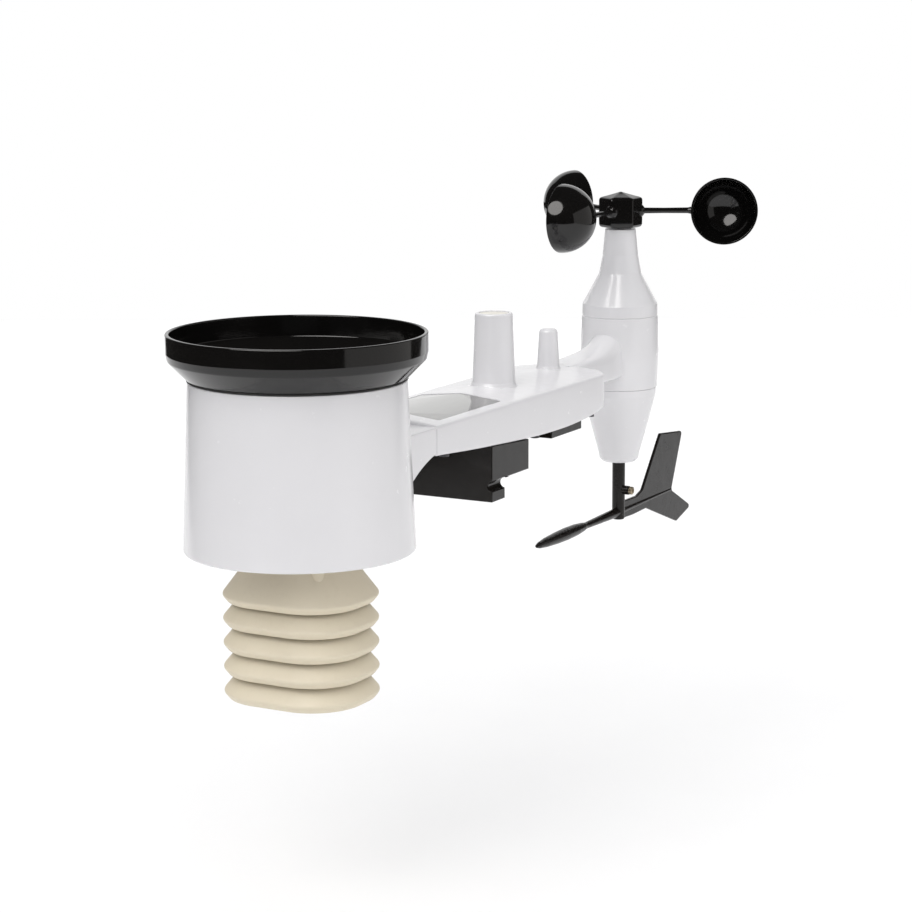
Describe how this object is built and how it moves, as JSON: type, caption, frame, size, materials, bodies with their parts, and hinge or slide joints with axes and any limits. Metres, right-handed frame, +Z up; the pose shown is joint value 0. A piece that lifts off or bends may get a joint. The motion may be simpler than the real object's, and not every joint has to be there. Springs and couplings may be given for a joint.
{
  "type": "weather station sensor array",
  "caption": "Pole-mounted weather sensor array: rain gauge with radiation shield, arm with solar window, and mast with wind cups and vane.",
  "frame": {"origin": "on the pole's axis, at the stop face that the pole's end meets under the arm", "axes": "+Z up along the pole, +X along the arm towards the wind mast, +Y across the arm"},
  "size_m": [0.5776, 0.1547, 0.2472],
  "materials": {
    "gloss_black": "gloss",
    "satin_black": "satin",
    "vane_plastic": "satin",
    "white_gloss": "gloss",
    "white_satin": "satin",
    "shield_cream": "satin",
    "grey_plastic": "satin",
    "seal_rubber": "matte",
    "window_glass": "gloss",
    "solar_cell": "satin",
    "diffuser": "matte",
    "steel": "satin",
    "brass": "satin",
    "magnet": "satin",
    "circuit_board": "satin",
    "cell_wrap": "satin",
    "lens": "gloss"
  },
  "bodies": {
    "array": {"rain_housing": "white_gloss", "rain_base": "white_satin", "rain_base_screws": "steel", "drain_screens": "satin_black", "bucket_frame": "white_satin", "reed_switch_board": "circuit_board", "shield_crown": "shield_cream", "shield_louvre_1": "shield_cream", "shield_louvre_2": "shield_cream", "shield_louvre_3": "shield_cream", "shield_louvre_4": "shield_cream", "shield_spacers": "shield_cream", "shield_ties": "steel", "climate_board": "circuit_board", "climate_filter": "grey_plastic", "arm_top": "white_gloss", "solar_window": "window_glass", "solar_cell": "solar_cell", "light_diffuser": "diffuser", "light_sensor_board": "circuit_board", "antenna_rod": "brass", "arm_cover": "white_satin", "arm_screws": "steel", "main_board": "circuit_board", "status_lens": "lens", "battery_bay": "satin_black", "batteries": "cell_wrap", "battery_contacts": "steel", "pole_bracket": "gloss_black", "bracket_screws": "steel", "mast_housing": "white_gloss", "mast_cap": "white_gloss", "mast_cone": "white_gloss", "rotor_bearings": "brass", "speed_board": "circuit_board", "vane_bearings": "brass", "direction_board": "circuit_board"},
    "seal": {"funnel_seal": "seal_rubber"},
    "funnel_unit": {"funnel": "gloss_black"},
    "screen": {"debris_screen": "satin_black"},
    "bucket": {"tipping_bucket": "satin_black", "bucket_magnet": "magnet", "bucket_axle": "steel"},
    "button": {"reset_button": "grey_plastic"},
    "door": {"battery_door": "satin_black", "battery_door_screw": "steel"},
    "cup_rotor": {"rotor_shaft": "steel", "rotor_magnet": "magnet", "cup_hub": "gloss_black", "wind_cup_1": "gloss_black", "wind_cup_2": "gloss_black", "wind_cup_3": "gloss_black"},
    "vane": {"vane_shaft": "steel", "vane_magnet": "magnet", "wind_vane": "vane_plastic", "vane_set_screw": "brass"}
  },
  "joints": [
    {"name": "funnel_lift", "type": "slide", "parent": "array", "child": "seal", "axis": [0, 0, 1], "range_m": [0, 0.06]},
    {"name": "funnel_twist", "type": "hinge", "parent": "seal", "child": "funnel_unit", "pos_m": [-0.183, 0, 0.06], "axis": [0, 0, 1], "range_deg": [0, 20]},
    {"name": "screen_lift", "type": "slide", "parent": "funnel_unit", "child": "screen", "axis": [0, 0, 1], "range_m": [0, 0.03]},
    {"name": "bucket_tip", "type": "hinge", "parent": "array", "child": "bucket", "pos_m": [-0.183, 0, -0.006], "axis": [0, 1, 0], "range_deg": [0, 30]},
    {"name": "button_press", "type": "slide", "parent": "array", "child": "button", "axis": [0, 0, 1], "range_m": [0, 0.0008], "stiffness_N_per_m": 400},
    {"name": "door_release", "type": "slide", "parent": "array", "child": "door", "axis": [0, 0, -1], "range_m": [0, 0.025]},
    {"name": "cup_spin", "type": "hinge", "parent": "array", "child": "cup_rotor", "pos_m": [0.209, 0, 0.1185], "axis": [0, 0, 1], "continuous": true},
    {"name": "vane_turn", "type": "hinge", "parent": "array", "child": "vane", "pos_m": [0.209, 0, -0.0795], "axis": [0, 0, 1], "continuous": true}
  ]
}
